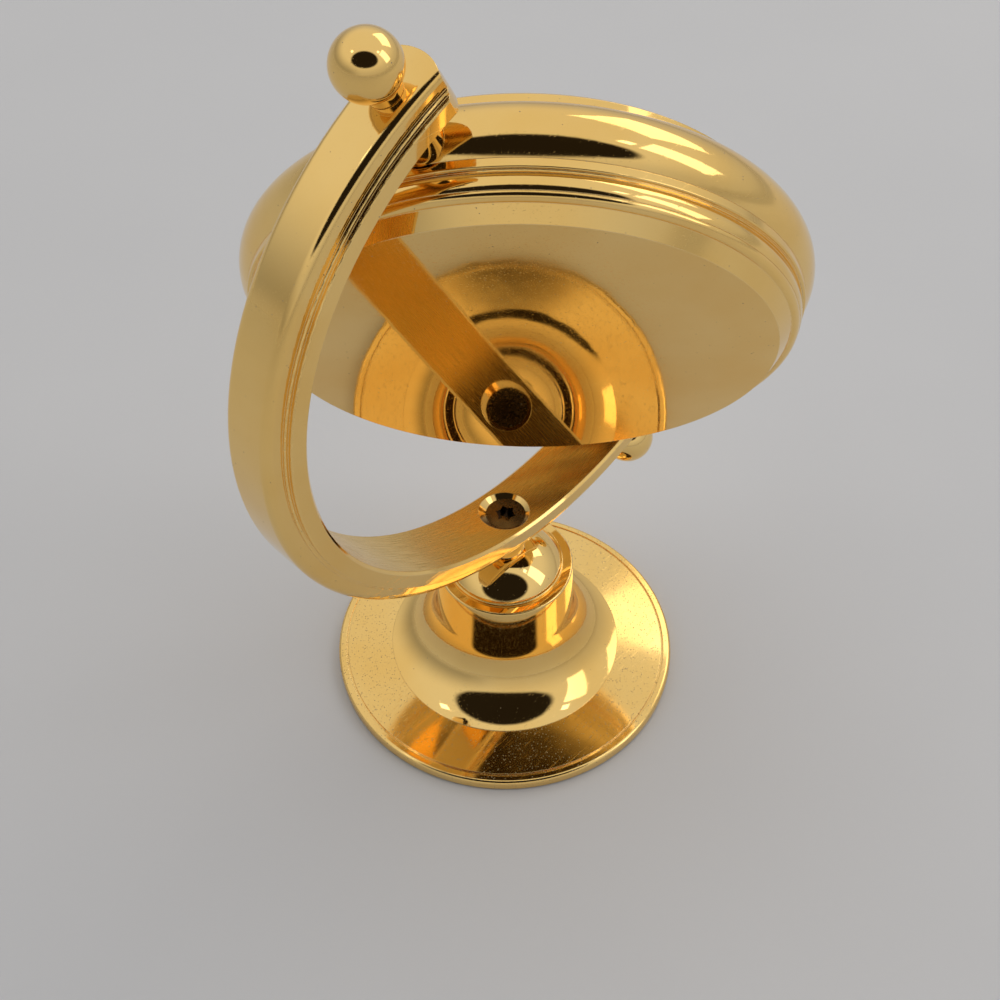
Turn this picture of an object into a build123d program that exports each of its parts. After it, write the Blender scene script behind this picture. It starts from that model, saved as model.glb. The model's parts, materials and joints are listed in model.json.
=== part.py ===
"""Globe desk clock: a drum clock hung by two pivots in a tilted meridian arm on a turned foot.

Millimetres, +Z up. The origin is the centre of the base pad's underside.
The arm lies in the XZ plane and bulges towards -X. The clock head has its own frame:
its z runs out of the dial, its y runs to twelve o'clock, and its origin is the arm's centre.
"""
import os
from math import asin, cos, degrees, radians, sin, sqrt

from build123d import *

os.makedirs("parts", exist_ok=True)

# Shared clearances
overrun = 2.0  # how far cutting tools reach past what they cut
fit_gap = 0.03  # radial gap of pieces that are fixed together
run_gap = 0.05  # radial gap of a shaft that turns in its hole
end_gap = 0.15  # axial gap beside a turning piece

# Foot, pad and the bolt under it
foot_radius = 25.0
pad_inset = 2.5  # from the rim to the pad
pad_thickness = 1.0
pad_stand = 0.3  # how far the pad holds the foot off the table
rim_height = 1.5
rim_round = 0.6
rim_groove_inset = 1.15
rim_groove_width = 0.3
rim_groove_depth = 0.2
flange_rise = 0.75  # from the top of the rim to the stem
foot_hub_radius = 8.0  # of the foot's middle, which centres the stem
foot_hub_height = 3.3
bolt_radius = 2.0
bolt_head_radius = 3.4
bolt_head_height = 1.6
bolt_reach = 5.5  # into the stem
bolt_key_width = 2.5
bolt_key_depth = 1.0
washer_radius = 3.5
washer_thickness = 0.5

# Stem and collar
stem_foot_lip = 0.1  # upright edge of the stem's foot
stem_radius = 9.9  # at the top of the flare
flare_width = 7.0  # from the stem's side to the edge of its foot
flare_height = 10.1
stem_taper = 0.3  # how much narrower the stem is at its top
stem_height = 18.05
stem_top_round = 0.3
stem_land = 1.55  # from the stem's edge to the collar
collar_bulge = 0.15
collar_foot_inset = 0.15
collar_height = 6.2
collar_top_round = 0.4

# Meridian arm
polar_tilt = 28.0  # lean of the clock's axis from upright, in degrees
arm_inner_radius = 37.55
strip_thickness = 2.4
strip_width = 8.8
strip_chamfer = 0.35
arm_edge_round = 0.15
fillet_inset = 0.55  # step on each side, from strip to fillet
fillet_height = 0.45
rib_inset = 0.4  # step on each side, from fillet to rib
rib_height = 2.25
rib_round = 1.1
arm_end_radius = 5.5
arm_spare_angle = 7.0  # length in hand before the ends are rounded, in degrees
arm_offset = 3.2  # the arm's centre stands this far in front of the stem
seat_depth = 0.4  # flat cut in the rib where it sits on the collar

# Screw that holds the arm on the stem
screw_radius = 1.5
screw_head_radius = 2.7
screw_sink = 0.7  # the head lies this far under the arm's inner face
screw_reach = 6.0  # into the stem
star_radius = 1.45
star_waist_share = 0.7
star_points = 6
star_depth = 1.1

# Pivots of the clock
finial_radius = 3.7
finial_stand = 4.5  # from the rib to the ball's centre
finial_neck_radius = 1.9
pivot_radius = 1.5
pivot_thread = 2.8  # length held in the bezel
spacer_radius = 2.6
spot_depth = 0.9  # flat cut in the bezel's bulge under a spacer

# Case of the clock, along its axis: positive is towards the dial
head_turn = 50.0  # rest angle of the dial about the polar axis, in degrees
clock_clearance = 3.45  # between the arm and the clock's widest part
bead_radius = 4.8
bead_level = 1.0
bezel_back = -2.2
lip_front = 8.0
lip_width = 1.7
lip_chamfer = 0.3
lip_shelf = 0.8  # thickness of the lip in front of the crystal
case_wall = 5.5  # from the bezel's widest part to the bore
spigot_wall = 1.0
spigot_height = 1.4
strip_band_inset = 1.25  # from the bezel's widest part, as are the insets below
strip_band_height = 1.1
groove_width = 0.25
groove_depth = 0.35
back_band_inset = 1.7
back_band_height = 1.95
back_band_crown = 0.25
band_edge_round = 0.2

# Back cover
cover_bead_inset = 2.0
cover_bead_height = 0.8
bevel_inset = 3.0
plate_inset = 4.4
bevel_height = 1.7
plate_thickness = 1.0
cover_wall = 1.2
cover_spigot = 1.0

# Crystal, its gasket, the dial and the slanted ring between them
crystal_thickness = 1.5
crystal_chamfer = 0.25
crystal_inset = 0.3  # from the case's bore to the crystal's edge
gasket_thickness = 0.3
gasket_width = 1.1
dial_front = 2.1
dial_thickness = 0.5
dial_ring_width = 2.6
dial_ring_top_width = 1.0

# Plastic ring that centres the movement in the case
holder_wall_share = 0.14  # of its width, from movement to case
holder_depth = 5.6

# Movement: plate, cover and their screws
movement_radius = 19.9
movement_wall = 1.0
movement_depth = 7.0
plate_floor = 1.0
cover_plate = 0.8
bush_radius = 2.6
boss_radius = 1.5
boss_inset = 3.0
boss_angles = (55.0, 115.0, 195.0, 335.0)
case_screw_radius = 0.6
case_screw_head_radius = 1.2
case_screw_head_height = 0.4
case_screw_reach = 3.0

# Wheel train: turning speeds follow from the teeth
wheel_thickness = 0.4
wheel_gap = 0.3
spoke_hole_share = 0.3
spoke_circle_share = 0.58
spoke_holes = 4
addendum_share = 0.8
dedendum_share = 1.1
tooth_root_share = 0.56
tooth_tip_share = 0.18
rotor_pinion_teeth = 8
intermediate_teeth = 48
intermediate_pinion_teeth = 8
second_teeth = 40
second_pinion_teeth = 8
third_teeth = 60
third_pinion_teeth = 8
centre_teeth = 64
cannon_teeth = 10
minute_teeth = 30
minute_pinion_teeth = 8
hour_teeth = 32
setting_teeth = 12
third_distance = 6.4
third_angle = 60.0
intermediate_distance = 6.6
intermediate_angle = -20.0
rotor_distance = 5.6
rotor_angle = -75.0  # seen from the intermediate wheel
motion_distance = 5.0
motion_angle = 160.0
arbor_radius = 0.3
pivot_depth = 0.5
second_arbor_radius = 0.4
minute_tube_wall = 0.5
hour_tube_wall = 0.6
post_radius = 0.45

# Setting arbor and its knob
setting_arbor_radius = 0.9
setting_knob_radius = 3.4
setting_knob_height = 0.8
knob_flutes = 18
knob_flute_radius = 0.25

# Stepping motor
magnet_radius = 1.6
magnet_height = 0.8
stator_thickness = 0.4
stator_ring_radius = 3.0
stator_bore = 2.1
stator_foot_radius = 1.0
coil_length = 8.0
coil_radius = 1.4
coil_flange = 0.4
coil_inset = 5.55  # from the movement's edge, as is the board's inset
coil_angle = -67.9
core_radius = 0.6
core_lug_gap = 0.3

# Battery, its contacts and the circuit
battery_radius = 5.8
battery_height = 3.1
battery_inset = 1.5  # from the movement's edge to the cell
battery_angle = 235.0
battery_gap = 0.12
battery_shoulder = 0.6
well_wall = 0.5
contact_radius = 4.0
contact_thickness = 0.2
clip_length = 15.0
clip_width = 4.0
clip_thickness = 0.3
board_width = 6.0
board_length = 9.0
board_inset = 6.35
board_angle = 12.8
board_thickness = 0.6
quartz_radius = 0.9
quartz_length = 6.0

# Hands, showing a set time at rest
rest_time = (10, 10, 35)  # hour, minute, second
full_turn = 360  # degrees
hand_thickness = 0.25
hour_hand_gap = 0.6  # from the dial
hand_spacing = 0.75
hour_tip_inset = 11.3  # from the edge of the open dial, as are the insets below
hour_width = 2.6
minute_tip_inset = 4.1
minute_width = 2.1
second_tip_inset = 2.3
second_width = 0.7
second_tail = 7.0
second_tail_width = 1.6
hand_tail = 3.4
hand_tip = 0.4
hand_belly_share = 0.62
hour_hub = 2.5
minute_hub = 1.9
second_hub = 1.3

# Radii of the stand
pad_radius = foot_radius - pad_inset
stem_foot_radius = stem_radius + flare_width
stem_top_radius = stem_radius - stem_taper
collar_radius = stem_top_radius - stem_land
collar_foot_radius = collar_radius - collar_foot_inset

# Heights of the stand
foot_bottom = pad_stand
rim_top = foot_bottom + rim_height
flange_top = rim_top + flange_rise
foot_hub_top = flange_top + foot_hub_height
stem_foot_top = flange_top + stem_foot_lip
flare_top = stem_foot_top + flare_height
stem_top = flange_top + stem_height
collar_top = stem_top + collar_height

# Meridian arm: widths, radii and the direction of its pivots
fillet_width = strip_width - 2 * fillet_inset
rib_width = fillet_width - 2 * rib_inset
strip_outer_radius = arm_inner_radius + strip_thickness
fillet_radius = strip_outer_radius + fillet_height
rib_radius = fillet_radius + rib_height
arm_centre = Vector(arm_offset, 0, collar_top + rib_radius - seat_depth)
polar = Vector(-sin(radians(polar_tilt)), 0, cos(radians(polar_tilt)))
north_angle = 90 + polar_tilt  # from +X towards +Z
face_at_stem = arm_centre.Z - sqrt(arm_inner_radius**2 - arm_offset**2)
screw_head_top = face_at_stem - screw_sink
screw_end = stem_top - screw_reach

# Frame of the clock head
front = Vector(0, 1, 0).rotate(Axis((0, 0, 0), polar), -head_turn)
twelve = polar.rotate(Axis((0, 0, 0), front), polar_tilt)
head = Plane(origin=arm_centre, x_dir=twelve.cross(front), z_dir=front)
head_profile = Plane(origin=arm_centre, x_dir=head.x_dir, z_dir=-head.y_dir)
head_axis = Axis(arm_centre, front)

# Radii of the head
bezel_radius = arm_inner_radius - clock_clearance
case_bore = bezel_radius - case_wall
spigot_radius = case_bore + spigot_wall
strip_band_radius = bezel_radius - strip_band_inset
back_band_radius = bezel_radius - back_band_inset
cover_bead_radius = bezel_radius - cover_bead_inset
bevel_radius = bezel_radius - bevel_inset
plate_radius = bezel_radius - plate_inset
crystal_radius = case_bore - crystal_inset
holder_radius = case_bore - fit_gap
holder_wall = holder_wall_share * (holder_radius - movement_radius)
boss_circle = movement_radius - boss_inset
battery_distance = movement_radius - battery_radius - battery_inset

# Places along the axis of the head
lip_radius = bezel_radius - bead_radius
lip_bore = lip_radius - lip_width
bezel_back_radius = lip_radius + sqrt(bead_radius**2 - (bezel_back - bead_level) ** 2)
spot_radius = bezel_radius - spot_depth
crystal_front = lip_front - lip_shelf
crystal_back = crystal_front - crystal_thickness
gasket_back = crystal_back - gasket_thickness
dial_back = dial_front - dial_thickness
strip_band_back = bezel_back - strip_band_height
groove_back = strip_band_back - groove_width
case_back = groove_back - back_band_height
bevel_front = case_back - cover_bead_height
plate_back = bevel_front - bevel_height
plate_inside = plate_back + plate_thickness
floor_back = dial_back - plate_floor
cover_front = dial_back - movement_depth + cover_plate
cover_back = cover_front - cover_plate
holder_back = dial_back - holder_depth

# Wheel train: levels, places and tooth sizes
level_pitch = wheel_thickness + wheel_gap


def level(step):
    """Middle of a wheel, counted in steps back from the movement's plate."""
    return floor_back - level_pitch * (step + 1 / 2)


HOUR, MINUTE, CENTRE, THIRD, SECOND, INTERMEDIATE, ROTOR = range(7)


def polar_place(distance, angle, start=(0, 0)):
    """Point at a distance and an angle in degrees from a start point."""
    return (
        start[0] + distance * cos(radians(angle)),
        start[1] + distance * sin(radians(angle)),
    )


def module(distance, teeth, other_teeth):
    """Tooth size that makes two wheels mesh at a distance."""
    return 2 * distance / (teeth + other_teeth)


setting_distance = (
    module(motion_distance, cannon_teeth, minute_teeth) * (minute_teeth + setting_teeth) / 2
)
third_place = polar_place(third_distance, third_angle)
intermediate_place = polar_place(intermediate_distance, intermediate_angle)
rotor_place = polar_place(rotor_distance, rotor_angle, intermediate_place)
minute_place = polar_place(motion_distance, motion_angle)
setting_place = polar_place(setting_distance, motion_angle, minute_place)
battery_place = polar_place(battery_distance, battery_angle)
coil_place = polar_place(movement_radius - coil_inset, coil_angle)
board_place = polar_place(movement_radius - board_inset, board_angle)

seconds_module = module(third_distance, second_pinion_teeth, third_teeth)
centre_module = module(third_distance, third_pinion_teeth, centre_teeth)
fourth_module = module(intermediate_distance, intermediate_pinion_teeth, second_teeth)
rotor_module = module(rotor_distance, rotor_pinion_teeth, intermediate_teeth)
cannon_module = module(motion_distance, cannon_teeth, minute_teeth)
hour_module = module(motion_distance, minute_pinion_teeth, hour_teeth)

# Nested tubes that carry the hands
minute_tube_bore = second_arbor_radius + run_gap
minute_tube_radius = minute_tube_bore + minute_tube_wall
hour_tube_bore = minute_tube_radius + run_gap
hour_tube_radius = hour_tube_bore + hour_tube_wall
bush_bore = hour_tube_radius + run_gap
open_radius = crystal_radius - dial_ring_width
hour_length = open_radius - hour_tip_inset
minute_length = open_radius - minute_tip_inset
second_length = open_radius - second_tip_inset
hour_hand_back = dial_front + hour_hand_gap
minute_hand_back = hour_hand_back + hand_spacing
second_hand_back = minute_hand_back + hand_spacing
hour_tube_front = hour_hand_back + hand_thickness
minute_tube_front = minute_hand_back + hand_thickness
second_arbor_front = second_hand_back + 2 * hand_thickness


def spindle(place, height, turn=0):
    """Plane across the head's axis at a place and a height, turned about its own normal."""
    return Plane(
        origin=head.from_local_coords((*place, height)),
        x_dir=head.x_dir.rotate(head_axis, turn),
        z_dir=front,
    )


def tooth_gap(teeth):
    """Angle from the middle of a tooth to the middle of the gap beside it."""
    return 180 / teeth


def wheel_face(teeth, size, bore, spokes=False):
    """Face of a toothed wheel with straight-sided teeth, one of them on its x axis."""
    pitch_radius = teeth * size / 2
    root = pitch_radius - dedendum_share * size
    tip = pitch_radius + addendum_share * size
    tooth_angle = full_turn / teeth
    corners = (
        (root, -tooth_root_share / 2),
        (tip, -tooth_tip_share / 2),
        (tip, tooth_tip_share / 2),
        (root, tooth_root_share / 2),
    )
    outline = [
        polar_place(radius, (tooth + turn) * tooth_angle)
        for tooth in range(teeth)
        for radius, turn in corners
    ]
    with BuildSketch() as face:
        with BuildLine():
            Polyline(*outline, close=True)
        make_face()
        Circle(bore, mode=Mode.SUBTRACT)
        if spokes:
            with PolarLocations(spoke_circle_share * pitch_radius, spoke_holes):
                Circle(spoke_hole_share * pitch_radius / 2, mode=Mode.SUBTRACT)
    return face.sketch


def finish(builder, name):
    """Name a finished piece and write it."""
    builder.part.label = name
    export_step(builder.part, f"parts/{name}.step")


# Foot: a flange with a grooved rim, and a hub for the stem
with BuildPart() as foot:
    with BuildSketch(Plane.XZ):
        with BuildLine():
            rim_inner = (foot_radius - rim_round, rim_top)
            Polyline(
                (0, foot_hub_top),
                (0, foot_bottom),
                (foot_radius, foot_bottom),
                (foot_radius, rim_top - rim_round),
            )
            RadiusArc((foot_radius, rim_top - rim_round), rim_inner, -rim_round)
            Polyline(
                rim_inner,
                (stem_foot_radius, flange_top),
                (foot_hub_radius, flange_top),
                (foot_hub_radius, foot_hub_top),
                (0, foot_hub_top),
            )
        make_face()
    revolve(axis=Axis.Z)
    with BuildSketch(Plane.XY.offset(rim_top - rim_groove_depth)):
        Circle(foot_radius - rim_groove_inset)
        Circle(foot_radius - rim_groove_inset - rim_groove_width, mode=Mode.SUBTRACT)
    extrude(amount=rim_groove_depth + flange_rise, mode=Mode.SUBTRACT)
    with BuildSketch(Plane.XY):
        Circle(pad_radius + fit_gap)
    extrude(amount=pad_thickness, mode=Mode.SUBTRACT)
    with BuildSketch(Plane.XY.offset(pad_thickness)):
        Circle(washer_radius + fit_gap)
    extrude(amount=bolt_head_height + washer_thickness, mode=Mode.SUBTRACT)
    with BuildSketch(Plane.XY):
        Circle(bolt_radius + run_gap)
    extrude(amount=foot_hub_top, mode=Mode.SUBTRACT)
finish(foot, "foot")

# Felt pad in the recess under the foot
with BuildPart() as base_pad:
    with BuildSketch(Plane.XY):
        Circle(pad_radius)
    extrude(amount=pad_thickness)
finish(base_pad, "base_pad")

# Bolt and washer under the foot
washer_bottom = pad_thickness + bolt_head_height
with BuildPart() as base_washer:
    with BuildSketch(Plane.XY.offset(washer_bottom)):
        Circle(washer_radius)
        Circle(bolt_radius + run_gap, mode=Mode.SUBTRACT)
    extrude(amount=washer_thickness)
finish(base_washer, "base_washer")

with BuildPart() as base_bolt:
    with BuildSketch(Plane.XY.offset(pad_thickness)):
        Circle(bolt_head_radius)
    extrude(amount=bolt_head_height)
    with BuildSketch(Plane.XY.offset(washer_bottom)):
        Circle(bolt_radius)
    extrude(amount=foot_hub_top + bolt_reach - washer_bottom)
    with BuildSketch(Plane.XY.offset(pad_thickness)):
        RegularPolygon(bolt_key_width / 2, 6, major_radius=False)
    extrude(amount=bolt_key_depth, mode=Mode.SUBTRACT)
finish(base_bolt, "base_bolt")

# Stem: a tapered drum that flares out to its foot, hollowed for the hub
with BuildPart() as stem:
    with BuildSketch(Plane.XZ):
        with BuildLine():
            flare_foot = (stem_foot_radius, stem_foot_top)
            flare_end = (stem_radius, flare_top)
            stem_edge = (stem_top_radius, stem_top - stem_top_round)
            stem_face = (stem_top_radius - stem_top_round, stem_top)
            Polyline((0, stem_top), (0, flange_top), (stem_foot_radius, flange_top), flare_foot)
            TangentArc(flare_end, flare_foot, tangent=(0, -1))
            Line(flare_end, stem_edge)
            RadiusArc(stem_edge, stem_face, -stem_top_round)
            Line(stem_face, (0, stem_top))
        make_face()
    revolve(axis=Axis.Z)
    with BuildSketch(Plane.XY.offset(screw_end)):
        Circle(screw_radius + fit_gap)
    extrude(amount=screw_reach + overrun, mode=Mode.SUBTRACT)
    with BuildSketch(Plane.XY.offset(flange_top)):
        Circle(foot_hub_radius + fit_gap)
    extrude(amount=foot_hub_height + fit_gap, mode=Mode.SUBTRACT)
    with BuildSketch(Plane.XY.offset(foot_hub_top)):
        Circle(bolt_radius + fit_gap)
    extrude(amount=bolt_reach, mode=Mode.SUBTRACT)
finish(stem, "stem")

# Collar: a slightly bulged drum with a flat top for the arm
with BuildPart() as collar:
    with BuildSketch(Plane.XZ):
        with BuildLine():
            collar_foot = (collar_foot_radius, stem_top)
            collar_edge = (collar_radius, collar_top - collar_top_round)
            collar_middle = (collar_radius + collar_bulge, (stem_top + collar_top) / 2)
            ThreePointArc(collar_foot, collar_middle, collar_edge)
            RadiusArc(collar_edge, (collar_radius - collar_top_round, collar_top), -collar_top_round)
            Polyline(
                (collar_radius - collar_top_round, collar_top),
                (screw_radius + run_gap, collar_top),
                (screw_radius + run_gap, stem_top),
                collar_foot,
            )
        make_face()
    revolve(axis=Axis.Z)
finish(collar, "collar")


def arm_radial(angle):
    """Direction from the arm's centre, at an angle from +X towards +Z."""
    return Vector(cos(radians(angle)), 0, sin(radians(angle)))


def pivot_plane(angle, radius):
    """Plane across a radius of the arm; its x runs round the arm with falling angle."""
    radial = arm_radial(angle)
    return Plane(
        origin=arm_centre + radial * radius,
        x_dir=Vector(radial.Z, 0, -radial.X),
        z_dir=radial,
    )


# Meridian arm: a flat strip with a stepped, rounded rib along its outside
arm_reach = degrees(asin(arm_end_radius / arm_inner_radius)) + arm_spare_angle
arm_start = north_angle - arm_reach
arm_depth = rib_radius - arm_inner_radius + 2 * overrun
with BuildPart() as arm:
    start_radial = arm_radial(arm_start)
    with BuildSketch(Plane(arm_centre, x_dir=start_radial, z_dir=start_radial.cross(Vector(0, 1, 0)))):
        with BuildLine():
            strip_shoulder = (strip_outer_radius - arm_edge_round, strip_width / 2)
            strip_edge = (strip_outer_radius, strip_width / 2 - arm_edge_round)
            fillet_shoulder = (fillet_radius - arm_edge_round, fillet_width / 2)
            fillet_edge = (fillet_radius, fillet_width / 2 - arm_edge_round)
            rib_shoulder = (rib_radius - rib_round, rib_width / 2)
            Polyline(
                (arm_inner_radius, 0),
                (arm_inner_radius, strip_width / 2 - strip_chamfer),
                (arm_inner_radius + strip_chamfer, strip_width / 2),
                strip_shoulder,
            )
            RadiusArc(strip_shoulder, strip_edge, arm_edge_round)
            Polyline(strip_edge, (strip_outer_radius, fillet_width / 2), fillet_shoulder)
            RadiusArc(fillet_shoulder, fillet_edge, arm_edge_round)
            Polyline(fillet_edge, (fillet_radius, rib_width / 2), rib_shoulder)
            RadiusArc(rib_shoulder, (rib_radius, rib_width / 2 - rib_round), rib_round)
            Line((rib_radius, rib_width / 2 - rib_round), (rib_radius, 0))
            mirror(about=Plane.XZ)
        make_face()
    revolve(axis=Axis(arm_centre, (0, -1, 0)), revolution_arc=180 + 2 * arm_reach)
    for angle, way in ((north_angle, Align.MIN), (north_angle + 180, Align.MAX)):
        with BuildSketch(pivot_plane(angle, arm_inner_radius - overrun)):
            Rectangle(arm_inner_radius, 2 * strip_width, align=(way, Align.CENTER))
            Circle(arm_end_radius, mode=Mode.SUBTRACT)
            Circle(pivot_radius + run_gap)
        extrude(amount=arm_depth, mode=Mode.SUBTRACT)
    with BuildSketch(Plane.XY.offset(collar_top)):
        Circle(collar_radius + collar_bulge)
    extrude(amount=-overrun, mode=Mode.SUBTRACT)
    with BuildSketch(Plane.XZ):
        with BuildLine():
            sink_radius = screw_head_radius + fit_gap
            hole_radius = screw_radius + run_gap
            sink_bottom = screw_head_top - (sink_radius - hole_radius)
            Polyline(
                (0, collar_top - overrun),
                (hole_radius, collar_top - overrun),
                (hole_radius, sink_bottom),
                (sink_radius + overrun, screw_head_top + overrun),
                (0, screw_head_top + overrun),
                close=True,
            )
        make_face()
    revolve(axis=Axis.Z, mode=Mode.SUBTRACT)
finish(arm, "meridian_arm")

# Countersunk screw with a star recess
with BuildPart() as arm_screw:
    with BuildSketch(Plane.XZ):
        with BuildLine():
            Polyline(
                (0, screw_end + end_gap),
                (screw_radius, screw_end + end_gap),
                (screw_radius, screw_head_top - (screw_head_radius - screw_radius)),
                (screw_head_radius, screw_head_top),
                (0, screw_head_top),
                close=True,
            )
        make_face()
    revolve(axis=Axis.Z)
    with BuildSketch(Plane.XY.offset(screw_head_top)):
        with BuildLine():
            Polyline(
                *[
                    polar_place(
                        star_radius * (1 if corner % 2 == 0 else star_waist_share),
                        corner * 180 / star_points,
                    )
                    for corner in range(2 * star_points)
                ],
                close=True,
            )
        make_face()
    extrude(amount=-star_depth, mode=Mode.SUBTRACT)
finish(arm_screw, "arm_screw")

# Ball finials with their pivot pins, and the spacers between arm and clock
pivot_end = spot_radius - pivot_thread
ball_centre = rib_radius + finial_stand
neck_on_ball = ball_centre - sqrt(finial_radius**2 - finial_neck_radius**2)
neck_bottom = rib_radius + run_gap
for side, pole in (("upper", polar), ("lower", -polar)):
    pole_profile = Plane(origin=arm_centre, x_dir=(0, 1, 0), z_dir=Vector(0, 1, 0).cross(pole))
    pole_axis = Axis(arm_centre, pole)
    with BuildPart() as finial:
        with BuildSketch(pole_profile):
            with BuildLine():
                Polyline(
                    (0, ball_centre + finial_radius),
                    (0, pivot_end),
                    (pivot_radius, pivot_end),
                    (pivot_radius, neck_bottom),
                    (finial_neck_radius, neck_bottom),
                    (finial_neck_radius, neck_on_ball),
                )
                ThreePointArc(
                    (finial_neck_radius, neck_on_ball),
                    (finial_radius, ball_centre),
                    (0, ball_centre + finial_radius),
                )
            make_face()
        revolve(axis=pole_axis)
    finish(finial, f"{side}_finial")

    with BuildPart() as spacer:
        with BuildSketch(pole_profile):
            with Locations((pivot_radius + run_gap, spot_radius)):
                Rectangle(
                    spacer_radius - pivot_radius - run_gap,
                    arm_inner_radius - end_gap - spot_radius,
                    align=(Align.MIN, Align.MIN),
                )
        revolve(axis=pole_axis)
    finish(spacer, f"{side}_spacer")

# Bezel: a large half-round ring with a straight lip that holds the crystal
with BuildPart() as bezel:
    with BuildSketch(head_profile):
        with BuildLine():
            Polyline(
                (lip_radius, bead_level + bead_radius),
                (lip_radius, lip_front - lip_chamfer),
                (lip_radius - lip_chamfer, lip_front),
                (lip_bore, lip_front),
                (lip_bore, crystal_front),
                (crystal_radius + fit_gap, crystal_front),
                (crystal_radius + fit_gap, dial_back),
                (case_bore, dial_back),
                (case_bore, bezel_back + spigot_height),
                (spigot_radius + fit_gap, bezel_back + spigot_height),
                (spigot_radius + fit_gap, bezel_back),
                (bezel_back_radius, bezel_back),
            )
            ThreePointArc(
                (bezel_back_radius, bezel_back),
                (bezel_radius, bead_level),
                (lip_radius, bead_level + bead_radius),
            )
        make_face()
    revolve(axis=head_axis)
    pole_faces = [pivot_plane(angle, spot_radius) for angle in (north_angle, north_angle + 180)]
    with BuildSketch(*pole_faces):
        Circle(spacer_radius + fit_gap)
    extrude(amount=spot_depth + overrun, mode=Mode.SUBTRACT)
    with BuildSketch(*pole_faces):
        Circle(pivot_radius + fit_gap)
    extrude(amount=-pivot_thread, mode=Mode.SUBTRACT)
finish(bezel, "bezel")

# Case ring: the drum's wall, with two bands and a groove between them
with BuildPart() as case_ring:
    with BuildSketch(head_profile):
        with BuildLine():
            band_shoulder = (strip_band_radius, strip_band_back + band_edge_round)
            band_edge = (strip_band_radius - band_edge_round, strip_band_back)
            crown_front = (back_band_radius - back_band_crown, groove_back)
            crown_back = (back_band_radius - back_band_crown, case_back)
            Polyline(
                crown_back,
                (case_bore, case_back),
                (case_bore, bezel_back + spigot_height),
                (spigot_radius, bezel_back + spigot_height),
                (spigot_radius, bezel_back),
                (strip_band_radius, bezel_back),
                band_shoulder,
            )
            RadiusArc(band_shoulder, band_edge, band_edge_round)
            Polyline(
                band_edge,
                (strip_band_radius - groove_depth, strip_band_back),
                (strip_band_radius - groove_depth, groove_back),
                crown_front,
            )
            ThreePointArc(crown_front, (back_band_radius, (groove_back + case_back) / 2), crown_back)
        make_face()
    revolve(axis=head_axis)
finish(case_ring, "case_ring")

# Back cover: a flat plate with a bevelled, beaded edge and a spigot that presses into the case
with BuildPart() as back_cover:
    with BuildSketch(head_profile):
        with BuildLine():
            bead_edge = (cover_bead_radius, case_back)
            bevel_edge = (bevel_radius, bevel_front)
            spigot_outer = case_bore - run_gap
            Polyline(
                bevel_edge,
                (plate_radius, plate_back),
                (0, plate_back),
                (0, plate_inside),
                (spigot_outer - cover_wall, plate_inside),
                (spigot_outer - cover_wall, case_back + cover_spigot),
                (spigot_outer, case_back + cover_spigot),
                (spigot_outer, case_back),
                bead_edge,
            )
            RadiusArc(bead_edge, bevel_edge, cover_bead_height)
        make_face()
    revolve(axis=head_axis)
finish(back_cover, "back_cover")

# Crystal, gasket and slanted dial ring
with BuildPart() as crystal:
    with BuildSketch(head.offset(crystal_back)):
        Circle(crystal_radius)
    extrude(amount=crystal_thickness)
    chamfer(crystal.edges().filter_by(GeomType.CIRCLE), crystal_chamfer)
finish(crystal, "crystal")

with BuildPart() as gasket:
    with BuildSketch(head.offset(gasket_back)):
        Circle(crystal_radius)
        Circle(crystal_radius - gasket_width, mode=Mode.SUBTRACT)
    extrude(amount=gasket_thickness)
finish(gasket, "crystal_gasket")

with BuildPart() as dial_ring:
    with BuildSketch(head_profile):
        with BuildLine():
            Polyline(
                (crystal_radius, dial_front),
                (crystal_radius, gasket_back),
                (crystal_radius - dial_ring_top_width, gasket_back),
                (crystal_radius - dial_ring_width, dial_front),
                close=True,
            )
        make_face()
    revolve(axis=head_axis)
finish(dial_ring, "dial_ring")

# Dial
with BuildPart() as dial:
    with BuildSketch(head.offset(dial_back)):
        Circle(crystal_radius)
        Circle(bush_radius + fit_gap, mode=Mode.SUBTRACT)
    extrude(amount=dial_thickness)
finish(dial, "dial")

# Movement holder: a moulded channel ring, open to the back
with BuildPart() as holder:
    with BuildSketch(head_profile):
        with BuildLine():
            pocket = movement_radius + fit_gap
            Polyline(
                (pocket, dial_back),
                (holder_radius, dial_back),
                (holder_radius, holder_back),
                (holder_radius - holder_wall, holder_back),
                (holder_radius - holder_wall, dial_back - holder_wall),
                (pocket + holder_wall, dial_back - holder_wall),
                (pocket + holder_wall, holder_back),
                (pocket, holder_back),
                close=True,
            )
        make_face()
    revolve(axis=head_axis)
finish(holder, "movement_holder")

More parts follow.
